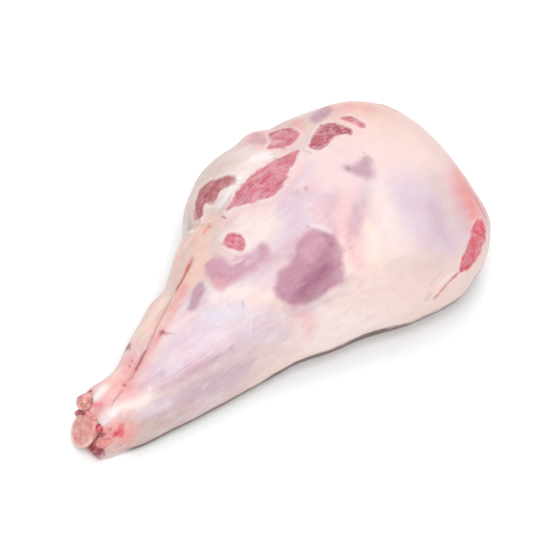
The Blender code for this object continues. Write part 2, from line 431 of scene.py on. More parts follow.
# The leg's tones, as they are seen.
palette = {
    "white": (255, 248, 246), "cream": (253, 234, 230), "butter": (253, 230, 216),
    "apricot": (250, 220, 212), "peach": (250, 206, 190), "blush": (248, 218, 221),
    "pink": (250, 204, 206), "rose": (244, 170, 174), "salmon": (248, 158, 154),
    "beige": (230, 206, 200), "stone": (208, 182, 176), "ash": (176, 156, 158),
    "haze": (238, 218, 230), "blueHaze": (228, 220, 234), "lilac": (226, 203, 219),
    "mauve": (208, 178, 192), "dusk": (200, 160, 178), "veilRose": (216, 162, 180),
    "plum": (192, 134, 156), "deepPlum": (172, 106, 134), "flesh": (228, 132, 148),
    "raw": (204, 92, 110), "wine": (156, 48, 64), "blood": (222, 70, 86),
    "scarlet": (242, 96, 110), "brick": (202, 108, 106), "bruise": (164, 98, 110),
    "brown": (146, 94, 92),
}


def seen(name):
    return tone(*palette[name])


# Tints of the fell and the fat: place, tone, reach in mm.
tints = {
    "tip": ((0.03, 100), "pink", 10),
    "hock": ((0.08, 80), "rose", 11),
    "hock crown": ((0.13, 90), "pink", 10),
    "shin foot": ((0.11, 160), "stone", 12),
    "heel ridge": ((0.24, 45), "peach", 11),
    "knee": ((0.38, 45), "peach", 12),
    "hock flank": ((0.13, 55), "rose", 9),
    "shin": ((0.20, 100), "lilac", 12),
    "shin side": ((0.18, 145), "mauve", 14),
    "calf": ((0.25, 85), "blush", 10),
    "calf crown": ((0.32, 100), "lilac", 13),
    "near shank": ((0.27, 155), "mauve", 16),
    "upper calf": ((0.38, 120), "lilac", 14),
    "near calf": ((0.39, 155), "beige", 14),
    "flank": ((0.55, 165), "cream", 24),
    "belly": ((0.65, 150), "apricot", 22),
    "thigh crown": ((0.58, 96), "lilac", 13),
    "thigh front": ((0.53, 88), "cream", 8),
    "rump seam": ((0.65, 105), "pink", 14),
    "rump crown": ((0.74, 90), "blush", 18),
    "rump": ((0.80, 125), "lilac", 18),
    "rump flank": ((0.76, 155), "apricot", 18),
    "rump edge": ((0.91, 130), "rose", 9),
    "rump top": ((0.88, 90), "apricot", 20),
    "far rump": ((0.89, 60), "peach", 14),
    "silverside": ((0.62, 57), "cream", 12),
    "far thigh": ((0.57, 46), "beige", 12),
    "far lobe": ((0.70, 44), "rose", 10),
    "far side": ((0.72, 10), "beige", 40),
    "far shank": ((0.25, 5), "beige", 30),
    "below": ((0.50, 270), "apricot", 60),
    "rump below": ((0.82, 270), "apricot", 50),
}


# Broad soft bands in the fell: way, half width in mm, tone, strength.
bands = {
    "heel tendon": (((0.24, 57), (0.30, 55), (0.40, 56)), 5.0, "peach", 0.8),
    "heel cream": (((0.20, 47), (0.26, 48), (0.31, 48)), 3.5, "butter", 0.6),
    "heel pink": (((0.12, 72), (0.16, 74), (0.22, 74), (0.28, 68), (0.34, 62)), 5.0, "salmon", 0.6),
    "heel lilac": (((0.24, 82), (0.27, 84), (0.30, 86)), 4.0, "haze", 0.7),
    "knee beige": (((0.33, 46), (0.37, 48), (0.41, 50)), 5.0, "beige", 0.7),
    "knee peach": (((0.37, 63), (0.41, 61), (0.45, 58), (0.48, 58)), 5.0, "peach", 1.0),
    "knee grey": (((0.44, 70), (0.48, 69)), 5.0, "beige", 0.8),
    # painted shade in the hollow behind the knee, on the far side
    "notch shade": (((0.46, 33), (0.45, 38), (0.44, 43)), 5.0, "ash", 0.8),
    "hock peach": (((0.10, 60), (0.14, 56)), 4.0, "peach", 0.8),
    "calf beige": (((0.20, 84), (0.23, 84)), 4.0, "apricot", 0.7),
    "calf lilac": (((0.22, 92), (0.25, 94), (0.28, 98)), 5.0, "lilac", 0.8),
    "calf gleam": (((0.21, 104), (0.29, 112), (0.34, 115)), 3.5, "haze", 0.7),
    "calf pale": (((0.26, 78), (0.30, 82), (0.33, 90)), 6.0, "blush", 0.7),
    "calf cream": (((0.37, 92), (0.40, 100), (0.42, 108)), 8.0, "cream", 0.9),
    "calf blue": (((0.33, 96), (0.36, 106), (0.385, 114)), 5.0, "blueHaze", 0.85),
    "knee apricot": (((0.43, 116), (0.46, 124), (0.48, 132)), 6.0, "apricot", 0.9),
    "pink fat": (((0.48, 140), (0.49, 150), (0.485, 160)), 7.0, "pink", 0.85),
    "near lilac": (((0.38, 134), (0.41, 142), (0.43, 152)), 8.0, "lilac", 0.7),
    "shin haze": (((0.17, 107), (0.21, 114), (0.29, 122)), 3.5, "lilac", 0.8),
    "shin mauve": (((0.17, 122), (0.21, 125), (0.25, 127), (0.33, 133)), 2.6, "dusk", 0.9),
    "shin blue": (((0.14, 98), (0.16, 100), (0.19, 106)), 2.6, "dusk", 0.6),
    "shin pale": (((0.15, 122), (0.19, 131), (0.24, 136), (0.34, 143)), 3.0, "beige", 0.8),
    "near mauve": (((0.17, 150), (0.22, 152), (0.34, 158)), 9.0, "mauve", 0.85),
    "near haze": (((0.11, 130), (0.14, 138), (0.17, 142)), 4.5, "haze", 0.8),
    "near stone": (((0.08, 152), (0.12, 158), (0.18, 166)), 6.0, "stone", 0.8),
    "near edge": (((0.20, 172), (0.28, 174), (0.36, 174)), 5.0, "beige", 0.7),
    "tip cream": (((0.05, 95), (0.08, 100), (0.11, 112), (0.14, 119)), 3.6, "cream", 0.9),
    "tip salmon": (((0.03, 125), (0.05, 138), (0.07, 150)), 9.0, "salmon", 1.0),
    "tip rose": (((0.05, 75), (0.09, 78), (0.12, 86)), 6.0, "salmon", 0.6),
    "tip gleam": (((0.04, 104), (0.055, 106), (0.07, 106)), 3.4, "white", 1.0),
    "knob gleam": (((0.05, 64), (0.085, 62)), 3.4, "white", 1.0),
    "thigh cream": (((0.49, 90), (0.53, 92), (0.58, 88)), 9.0, "cream", 0.9),
    "thigh lilac": (((0.585, 90), (0.595, 97), (0.595, 105)), 7.0, "lilac", 0.9),
    "thigh wisp": (((0.60, 90), (0.63, 92), (0.66, 96)), 6.0, "lilac", 0.7),
    "round wake": (((0.45, 92), (0.47, 100), (0.50, 107), (0.53, 111)), 6.0, "veilRose", 0.55),
    "round skirt": (((0.46, 136), (0.50, 142), (0.56, 143), (0.60, 137)), 4.0, "mauve", 0.5),
    "strip halo": (((0.54, 80), (0.58, 86), (0.63, 84), (0.68, 78)), 5.0, "pink", 0.6),
    "strip foot": (((0.48, 68), (0.52, 72)), 4.0, "pink", 0.6),
    "silver halo": (((0.66, 52), (0.675, 60), (0.70, 63)), 3.0, "pink", 0.6),
    "far beige": (((0.53, 42), (0.56, 47), (0.60, 52)), 6.0, "beige", 0.8),
    "rump column": (((0.76, 101), (0.72, 107), (0.69, 111), (0.66, 120)), 5.0, "mauve", 0.75),
    "column foot": (((0.66, 118), (0.64, 124), (0.63, 133)), 5.0, "rose", 0.45),
    "column side": (((0.69, 98), (0.65, 104), (0.63, 112)), 4.0, "mauve", 0.5),
    "strip lilac": (((0.60, 88), (0.66, 84), (0.70, 80)), 4.0, "lilac", 0.6),
    "cream ridge": (((0.69, 119), (0.68, 126), (0.66, 134)), 5.0, "butter", 0.9),
    "rump white": (((0.76, 106), (0.74, 114), (0.73, 122), (0.71, 132)), 10.0, "cream", 0.8),
    "rump lilac": (((0.80, 112), (0.80, 122), (0.79, 134), (0.80, 142)), 11.0, "lilac", 0.8),
    "rump dusk": (((0.82, 122), (0.815, 130), (0.805, 138)), 7.0, "mauve", 0.4),
    "rump beige": (((0.87, 114), (0.86, 124), (0.845, 134)), 6.0, "beige", 0.7),
    "rump grey": (((0.70, 142), (0.73, 146), (0.77, 149)), 8.0, "beige", 0.5),
    "rump salmon": (((0.93, 124), (0.91, 132), (0.89, 145)), 6.0, "salmon", 0.9),
    "far pink": (((0.755, 58), (0.765, 52), (0.775, 47)), 5.0, "salmon", 0.5),
    "far top": (((0.84, 52), (0.87, 56), (0.90, 60)), 6.0, "rose", 0.6),
    "belly cream": (((0.50, 168), (0.56, 168), (0.62, 172)), 10.0, "cream", 0.9),
}


def fatTones(share, angle, radius):
    total = np.zeros((len(share), 4))
    weight = np.full((len(share), 1), 1e-9)
    for place, colour, reach in tints.values():
        turn = (angle - place[1] + 180) % 360 - 180
        gap = ((share - place[0]) * legLength) ** 2 + (np.radians(turn) * radius) ** 2
        pull = np.exp(-gap / (2 * (reach * mm) ** 2))[:, None] + 1e-7 / (gap[:, None] + 1e-4)
        total += pull * np.array(seen(colour))
        weight += pull
    return total / weight


def laid(under, strokes, chart, points, x, y, crisp):        # strokes over a colour, with ragged edges
    colour = under.copy()
    ragged = 1 + 0.4 * unevenness(points, 7 * mm, 11, 2)
    for way, width, name, strength in strokes.values():
        line = rounded(chart.flattenPlaces(way), closed=False)
        reach = width * mm
        low, high = line.min(axis=0) - 3 * reach, line.max(axis=0) + 3 * reach
        near = np.nonzero((x > low[0]) & (x < high[0]) & (y > low[1]) & (y < high[1]))[0]
        gap, within, along = distanceTo(line, x[near], y[near], False)
        taper = 1 - 0.75 * (1 - eased(along, 0, 0.22) * (1 - eased(along, 0.78, 1))) * (crisp > 2)
        amount = strength * (taper * np.exp(-(gap / (reach * ragged[near] * taper)) ** crisp))[:, None]
        colour[near] += amount * (np.array(seen(name)) - colour[near])
    return colour


def thinStrokes(strokes, chart, x, y):        # True near the strokes too thin for the coarse net
    close = np.zeros(len(x), bool)
    for way, width, *rest in strokes.values():
        if width < fell["thin"]:
            line = rounded(chart.flattenPlaces(way), closed=False)
            reach = (width + 1.5) * mm
            low, high = line.min(axis=0) - reach, line.max(axis=0) + reach
            near = np.nonzero((x > low[0]) & (x < high[0]) & (y > low[1]) & (y < high[1]))[0]
            close[near] |= distanceTo(line, x[near], y[near], False)[0] < reach
    return close


# Bared muscle: outline, colour, colour of its dark parts, and the heading of its fibres in
# degrees, 0 along the leg and 90 round it.
exposures = {
    "topside": {
        "outline": ((0.73, 69), (0.76, 64), (0.785, 61), (0.805, 60), (0.82, 64), (0.825, 70), (0.815, 75),
                    (0.80, 72), (0.78, 72), (0.76, 74), (0.74, 75), (0.73, 73)),
        "tone": "raw", "deep": "wine", "fibres": 18,
    },
    "topside streak": {
        "outline": ((0.83, 62), (0.845, 62), (0.857, 66), (0.858, 71), (0.845, 74), (0.838, 69)),
        "tone": "flesh", "deep": "raw", "fibres": 20,
    },
    "silverside": {
        "outline": ((0.67, 57), (0.69, 54), (0.705, 47), (0.72, 43), (0.74, 46), (0.75, 54), (0.745, 59),
                    (0.73, 61), (0.70, 61), (0.685, 60)),
        "tone": "flesh", "deep": "raw", "fibres": -12,
    },
    "long strip": {
        "outline": ((0.505, 66), (0.53, 66), (0.59, 64), (0.65, 65), (0.705, 67), (0.705, 70), (0.685, 74),
                    (0.655, 77), (0.635, 80), (0.60, 83), (0.575, 81), (0.55, 77), (0.525, 71)),
        "tone": "flesh", "deep": "raw", "fibres": 2,
    },
    "far thigh": {
        "outline": ((0.465, 40), (0.49, 41), (0.515, 41), (0.53, 44), (0.545, 49), (0.56, 54), (0.577, 58),
                    (0.573, 62), (0.55, 59), (0.53, 57), (0.51, 55), (0.495, 50), (0.475, 48)),
        "tone": "brick", "deep": "bruise", "fibres": 10,
    },
    "triangle": {
        "outline": ((0.453, 75), (0.47, 75), (0.487, 78), (0.492, 83), (0.485, 88), (0.468, 90), (0.456, 83)),
        "tone": "flesh", "deep": "raw", "fibres": 60,
    },
    "cut edge": {
        "outline": ((0.885, 143), (0.91, 144), (0.915, 150), (0.895, 157), (0.87, 163), (0.835, 165),
                    (0.81, 161), (0.82, 154), (0.845, 150), (0.865, 146)),
        "tone": "scarlet", "deep": "blood", "fibres": 75,
    },
    "butt": {"outline": (), "tone": "flesh", "deep": "raw", "fibres": 90},
}

# The cut face at the butt: the way it faces, how squarely a place must face that way to be
# within the rim of fat, and the muscles in it by the places of their middles.
buttCut = {
    "faces": (0.986, -0.165, 0.0),
    "squareness": 0.91,
    "rounding": 24 * mm,
    "seam": 1.1 * mm,
    "muscles": ((-0.052, 0.058), (-0.060, 0.024), (-0.016, 0.070), (-0.012, 0.032), (0.028, 0.058),
                (0.030, 0.022), (-0.036, 0.006)),
}

# Muscle that shows through the fell: outline, colour, softness of its edge in mm, strength.
veils = {
    "round": {
        "outline": ((0.565, 109), (0.59, 108), (0.61, 110), (0.625, 115), (0.62, 123), (0.60, 132),
                    (0.585, 137), (0.55, 140), (0.515, 140), (0.485, 137), (0.468, 130), (0.463, 122),
                    (0.48, 116), (0.51, 114), (0.54, 111)),
        "tone": "plum", "soft": 3.0, "strength": 1.0,
    },
    "upper calf": {
        "outline": ((0.395, 72), (0.41, 71), (0.425, 74), (0.435, 80), (0.435, 87), (0.455, 93), (0.48, 95),
                    (0.505, 97), (0.51, 101), (0.49, 104), (0.455, 102), (0.425, 99), (0.40, 96),
                    (0.385, 91), (0.385, 80)),
        "tone": "veilRose", "soft": 3.0, "strength": 0.95,
    },
    "calf spot": {
        "outline": ((0.37, 75), (0.365, 81), (0.34, 84), (0.32, 84), (0.315, 79), (0.335, 75), (0.355, 72)),
        "tone": "dusk", "soft": 1.6, "strength": 0.95,
    },
    "rump": {
        "outline": ((0.745, 88), (0.765, 89), (0.797, 89), (0.79, 94), (0.77, 99), (0.755, 98), (0.745, 93)),
        "tone": "dusk", "soft": 3.6, "strength": 0.95,
    },
    "topside": {
        "outline": ((0.79, 57), (0.80, 50), (0.825, 45), (0.855, 44), (0.845, 53), (0.82, 56)),
        "tone": "dusk", "soft": 2.0, "strength": 0.8,
    },
    "far lobe": {
        "outline": ((0.66, 48), (0.68, 42), (0.70, 38), (0.70, 46), (0.68, 54)),
        "tone": "veilRose", "soft": 2.0, "strength": 0.6,
    },
}

# Smaller strokes over the veils and the bared muscle: way, half width in mm, tone, strength.
washes = {
    "knob red": (((0.045, 62), (0.055, 72), (0.065, 82)), 1.8, "scarlet", 0.6),
    "tip red": (((0.045, 138), (0.055, 141), (0.068, 143)), 3.0, "blood", 1.0),
    "tip red arm": (((0.056, 140), (0.064, 134), (0.075, 132)), 2.0, "scarlet", 0.9),
    "tip red foot": (((0.055, 144), (0.064, 151)), 2.0, "scarlet", 0.8),
    "tip fold": (((0.044, 124), (0.05, 128)), 0.8, "brick", 0.7),
    "tip crease": (((0.032, 140), (0.04, 146)), 0.8, "wine", 0.8),
    "tip spot": (((0.048, 167), (0.052, 168)), 0.8, "brown", 0.6),
    "hock vein": (((0.115, 80), (0.105, 84), (0.09, 86), (0.08, 89), (0.068, 96)), 0.5, "bruise", 0.6),
    "hock spot": (((0.122, 76), (0.118, 79)), 1.2, "brown", 0.9),
    "hock red": (((0.13, 64), (0.16, 62), (0.18, 58)), 2.6, "rose", 0.6),
    "hock nick": (((0.152, 64), (0.157, 64)), 1.1, "bruise", 0.9),
    "hock nick high": (((0.162, 63), (0.168, 62)), 0.8, "bruise", 0.7),
    "heel nick": (((0.172, 44), (0.18, 46), (0.19, 47)), 1.5, "brown", 0.9),
    "heel nick side": (((0.178, 50), (0.184, 51)), 0.8, "bruise", 0.6),
    "heel red": (((0.395, 57), (0.37, 56), (0.34, 55), (0.325, 55)), 1.5, "brick", 0.9),
    "heel dark": (((0.205, 69), (0.19, 70), (0.17, 73), (0.15, 75)), 0.9, "bruise", 0.9),
    "heel blush": (((0.225, 72), (0.24, 74)), 3.0, "salmon", 0.5),
    "spur": (((0.24, 72), (0.246, 73), (0.25, 76)), 1.4, "bruise", 0.9),
    "spur tail": (((0.25, 77), (0.257, 82), (0.263, 86)), 0.5, "bruise", 0.6),
    "calf line": (((0.405, 122), (0.39, 128), (0.375, 136)), 0.7, "white", 0.4),
    "calf moss": (((0.398, 112), (0.404, 113)), 2.2, "ash", 0.35),
    "calf blue spot": (((0.362, 84), (0.368, 87)), 2.4, "blueHaze", 0.6),
    "calf rose": (((0.385, 84), (0.395, 88), (0.40, 94)), 4.0, "rose", 0.5),
    "calf wisp": (((0.45, 96), (0.47, 98), (0.49, 99)), 3.0, "lilac", 0.5),
    "shin edge": (((0.17, 120), (0.22, 123), (0.26, 125), (0.31, 127)), 1.4, "veilRose", 0.6),
    "shin thread": (((0.18, 113), (0.23, 118), (0.29, 121)), 0.8, "dusk", 0.5),
    "shin glint": (((0.15, 108), (0.16, 110)), 1.2, "cream", 0.7),
    "triangle core": (((0.468, 80), (0.475, 83)), 2.4, "blood", 0.45),
    "triangle rim": (((0.452, 74), (0.45, 80), (0.455, 86), (0.464, 91), (0.475, 92)), 0.7, "blush", 0.8),
    "thigh fold": (((0.435, 87), (0.445, 91), (0.462, 94)), 1.0, "blush", 0.7),
    "thigh crease": (((0.438, 90), (0.448, 93), (0.462, 95)), 0.6, "bruise", 0.35),
    "thigh end": (((0.495, 97), (0.505, 99)), 1.6, "ash", 0.4),
    "knee streak": (((0.475, 58), (0.46, 59), (0.445, 58)), 1.4, "salmon", 0.8),
    "knee white": (((0.432, 40), (0.438, 46), (0.445, 50)), 1.4, "white", 0.8),
    # painted shade in the hollow behind the knee, on the far side
    "knee hollow shade": (((0.455, 36), (0.445, 36), (0.435, 34)), 2.2, "ash", 0.7),
    "knee nick": (((0.495, 65), (0.497, 70)), 0.8, "brown", 0.7),
    "far foot": (((0.466, 41), (0.47, 46), (0.47, 50)), 0.9, "bruise", 0.7),
    "far dark": (((0.47, 40), (0.485, 41)), 1.4, "wine", 0.6),
    "far heart": (((0.505, 50), (0.515, 48)), 1.6, "wine", 0.7),
    "thigh white": (((0.50, 58), (0.53, 61), (0.57, 62), (0.61, 61)), 2.4, "white", 0.8),
    "back rim": (((0.53, 30), (0.57, 30), (0.62, 30), (0.67, 33)), 1.4, "brick", 0.4),
    "silver white": (((0.62, 58), (0.65, 60), (0.67, 63)), 3.4, "white", 0.8),
    "strip haze": (((0.53, 69), (0.56, 74), (0.59, 79)), 3.0, "veilRose", 0.6),
    "strip glow": (((0.60, 72), (0.64, 71), (0.69, 69)), 2.4, "blood", 0.5),
    "strip bright": (((0.56, 72), (0.58, 74), (0.60, 76)), 2.6, "scarlet", 0.35),
    "strip top": (((0.66, 67), (0.68, 68), (0.70, 68)), 1.4, "raw", 0.8),
    "strip salmon": (((0.555, 77), (0.565, 79)), 1.8, "salmon", 0.7),
    "strip edge": (((0.60, 81), (0.62, 80), (0.635, 78)), 0.8, "bruise", 0.8),
    "strip pale": (((0.575, 66), (0.61, 68), (0.65, 69)), 1.0, "pink", 0.5),
    "strip tail": (((0.705, 69), (0.715, 71), (0.72, 75)), 0.7, "bruise", 0.3),
    "silver top": (((0.705, 47), (0.72, 44), (0.738, 47), (0.75, 54)), 1.0, "wine", 0.5),
    "silver pale": (((0.685, 57), (0.70, 54), (0.715, 55)), 1.8, "pink", 0.8),
    "silver foot": (((0.69, 61), (0.70, 62)), 1.2, "bruise", 0.7),
    "silver mark": (((0.655, 66), (0.665, 64)), 1.0, "ash", 0.6),
    "silver thread": (((0.66, 61), (0.672, 62)), 0.6, "dusk", 0.6),
    "topside heart": (((0.74, 71), (0.76, 68), (0.775, 66)), 2.6, "blood", 0.6),
    "topside crown": (((0.79, 62), (0.81, 64)), 2.2, "wine", 0.5),
    "topside edge": (((0.735, 69), (0.76, 64), (0.78, 62)), 0.8, "wine", 0.6),
    "topside arm": (((0.82, 66), (0.82, 70), (0.815, 74)), 1.0, "wine", 0.5),
    "topside fringe": (((0.765, 73), (0.78, 72), (0.795, 72)), 1.6, "flesh", 0.6),
    "crown line": (((0.835, 62), (0.85, 64), (0.857, 68)), 0.9, "bruise", 0.8),
    "crown pale": (((0.838, 67), (0.845, 71)), 1.4, "pink", 0.7),
    "round heart": (((0.49, 129), (0.52, 128), (0.56, 129), (0.595, 126)), 6.0, "deepPlum", 0.9),
    "round crown": (((0.60, 120), (0.605, 126)), 4.0, "plum", 0.7),
    "round pale": (((0.61, 112), (0.58, 113), (0.54, 116)), 7.0, "veilRose", 0.65),
    # painted shade along the lower edge of the round, where its muscle dives under the fat
    "round lower shade": (((0.49, 137), (0.52, 138), (0.55, 138)), 2.4, "ash", 0.5),
    "round corner shade": (((0.575, 134), (0.585, 132)), 3.0, "ash", 0.5),
    "round spot": (((0.61, 117), (0.613, 119)), 1.4, "bruise", 0.6),
    "round fold": (((0.60, 105), (0.615, 109), (0.63, 115)), 1.8, "white", 0.5),
    "round mark": (((0.593, 105), (0.597, 106)), 1.2, "ash", 0.5),
    "crown mark": (((0.648, 88), (0.653, 90)), 1.3, "bruise", 0.6),
    "crown smudge": (((0.62, 89), (0.64, 88)), 2.6, "ash", 0.25),
    "column lilac": (((0.705, 106), (0.69, 110), (0.675, 119)), 2.6, "veilRose", 0.4),
    "column mauve": (((0.675, 112), (0.665, 116), (0.655, 120)), 2.4, "veilRose", 0.35),
    "column side": (((0.655, 116), (0.64, 122), (0.63, 128)), 2.0, "veilRose", 0.4),
    "veil spot": (((0.744, 89), (0.75, 91)), 1.6, "bruise", 0.5),
    "veil edge": (((0.78, 89), (0.795, 90), (0.79, 95)), 1.0, "dusk", 0.5),
    "veil mark": (((0.795, 87), (0.80, 87)), 1.2, "ash", 0.5),
    "cut heart": (((0.905, 148), (0.90, 152), (0.885, 156)), 2.2, "scarlet", 0.8),
    "cut haze": (((0.86, 150), (0.84, 155), (0.83, 161)), 4.0, "flesh", 0.7),
    "cut blotch": (((0.83, 157), (0.82, 160)), 1.6, "raw", 0.6),
    "flank line": (((0.81, 161), (0.785, 163), (0.765, 165), (0.75, 169)), 0.8, "brick", 0.8),
    "flank red": (((0.748, 168), (0.74, 171)), 2.0, "brick", 0.6),
    "flank lip": (((0.80, 158), (0.775, 160), (0.75, 163)), 1.2, "white", 0.6),
    "flank crease": (((0.775, 154), (0.755, 156), (0.735, 160)), 0.7, "dusk", 0.4),
    "flank grey": (((0.735, 164), (0.725, 170)), 2.4, "stone", 0.5),
    "butt corner": (((0.93, 50), (0.95, 56), (0.97, 64)), 1.0, "brown", 0.9),
    "butt rim": (((0.93, 135), (0.925, 145), (0.915, 153)), 0.8, "brick", 0.6),
}

# Seams and nicks: way, colour strength, half width in mm, depth in mm.
seams = {
    "heel": (((0.395, 57), (0.33, 55), (0.28, 59), (0.25, 62), (0.225, 66), (0.205, 69), (0.17, 74),
              (0.135, 77)), 0.75, 0.8, 0.9),
    "heel top": (((0.395, 57), (0.33, 55)), 0.8, 1.8, 0.6),
    "spur": (((0.235, 73), (0.245, 74), (0.25, 78)), 0.9, 1.2, 0.5),
    "knee fold": (((0.45, 40), (0.46, 50), (0.47, 62)), 0.35, 1.2, 1.0),
    "hock nick": (((0.12, 75), (0.12, 79)), 1.0, 1.0, 0.7),
    "heel nick": (((0.175, 44), (0.19, 46)), 0.9, 0.8, 0.6),
    "flank": (((0.84, 163), (0.81, 161), (0.785, 163), (0.745, 170)), 0.75, 0.8, 1.2),
}


# Places where the leg stands out a little more or less: place, reach in mm, push in mm.
pushes = {
    "thigh foot": ((0.47, 205), 16, -2.2),
    "belly foot": ((0.60, 200), 22, -1.8),
    "rump foot": ((0.75, 200), 22, -0.5),
    "butt foot": ((0.88, 190), 18, -0.8),
    "calf foot": ((0.36, 195), 20, -0.9),
    "top rim": ((0.90, 50), 18, 3.2),
    "far rim": ((0.94, 65), 11, -1.5),
    "back rim": ((0.70, 35), 13, 2.4),
    "back dip": ((0.65, 30), 8, -1.8),
    "far dip": ((0.79, 30), 8, -1.6),
    "thigh corner": ((0.60, 27), 9, -1.6),
    "knee rim": ((0.53, 28), 13, 0.9),
    "hock bend": ((0.33, 35), 12, -1.8),
    "heel back": ((0.28, 38), 10, 1.6),
    "butt rim": ((0.96, 110), 13, 0.5),
    "tip foot": ((0.03, 215), 12, -2.2),
}


def skinShape():
    piece = asObject("legSkin", solidCopy("leg_meat"))
    evened(piece, fell["spacing"])
    edges = edgesOf(piece.data)
    points = smoothed(pointsOf(piece.data), edges, 7)
    setPoints(piece.data, points)
    print("fell, even net", len(points), "points")
    return piece


def bareness(chart, points, normals):        # how far inside bared muscle, whose it is, and its fibre lines
    share, angle, radius = chart.locate(points)
    x, y = chart.flatten(share, angle, radius)
    inside = np.full(len(points), -10 * mm)
    owner = np.full(len(points), -1)
    for number, patch in enumerate(exposures.values()):
        if not patch["outline"]:
            continue
        line = rounded(chart.flattenPlaces(patch["outline"]))
        low, high = line.min(axis=0) - 10 * mm, line.max(axis=0) + 10 * mm
        near = np.nonzero((x > low[0]) & (x < high[0]) & (y > low[1]) & (y < high[1]))[0]
        gap, within, along = distanceTo(line, x[near], y[near], True)
        depth = np.where(within, gap, -gap) + 1.3 * mm * unevenness(points[near], 8 * mm, 6, 2)
        better = depth > inside[near]
        inside[near[better]] = depth[better]
        owner[near[better]] = number
    square = normals @ np.array(buttCut["faces"])
    slope = math.sqrt(1 - buttCut["squareness"] ** 2) / buttCut["rounding"]
    depth = np.clip((square - buttCut["squareness"]) / slope, -10 * mm, 10 * mm)
    depth += 1.5 * mm * unevenness(points, 14 * mm, 5, 2)
    better = (depth > inside) & (square > 0.5)
    inside = np.where(better, depth, inside)
    owner = np.where(better, list(exposures).index("butt"), owner)
    return inside, owner, x, y


def muscleSeams(points, owner):        # 1 on the fat between the muscles of the cut face
    middles = np.array(buttCut["muscles"])
    wander = np.stack([unevenness(points, 18 * mm, seed) for seed in (21, 22)], axis=1) * 6 * mm
    gaps = np.linalg.norm((points[:, 1:] + wander)[:, None, :] - middles[None, :, :], axis=2)
    gaps.sort(axis=1)
    between = (gaps[:, 1] - gaps[:, 0]) / 2
    return np.where(owner == list(exposures).index("butt"), np.exp(-(between / buttCut["seam"]) ** 2), 0.0)


